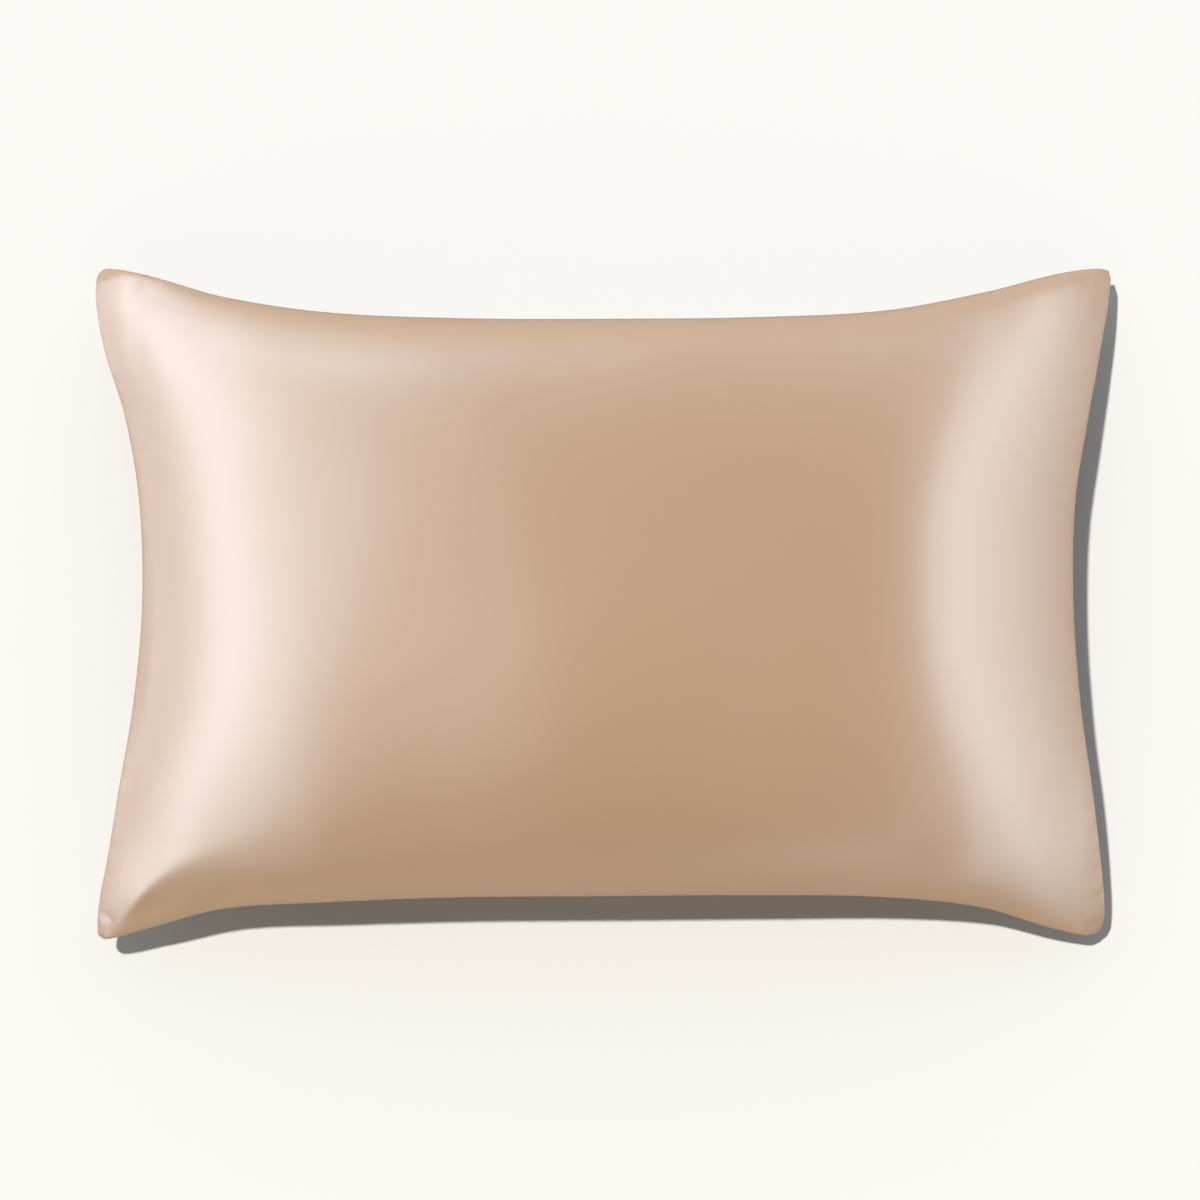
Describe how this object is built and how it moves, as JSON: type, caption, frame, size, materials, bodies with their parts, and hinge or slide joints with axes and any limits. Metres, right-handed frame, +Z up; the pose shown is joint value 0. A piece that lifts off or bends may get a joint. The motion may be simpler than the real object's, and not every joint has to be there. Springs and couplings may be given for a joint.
{
  "type": "filled satin pillowcase",
  "caption": "Filled plain satin pillowcase lying on its back: smooth crown, drawn-in sides, pointed corners, turned seams and a hemmed opening on the underside.",
  "frame": {"origin": "on the floor, under the middle of the filled pillowcase", "axes": "+X along the length (the picture's right), +Y across the width (the picture's top), +Z up, from the back panel to the front panel"},
  "size_m": [0.7497, 0.495, 0.1796],
  "materials": {
    "satin": "smooth champagne satin with a soft directional sheen"
  },
  "bodies": {
    "root": {"front_panel": "satin", "back_panel": "satin"}
  },
  "joints": []
}
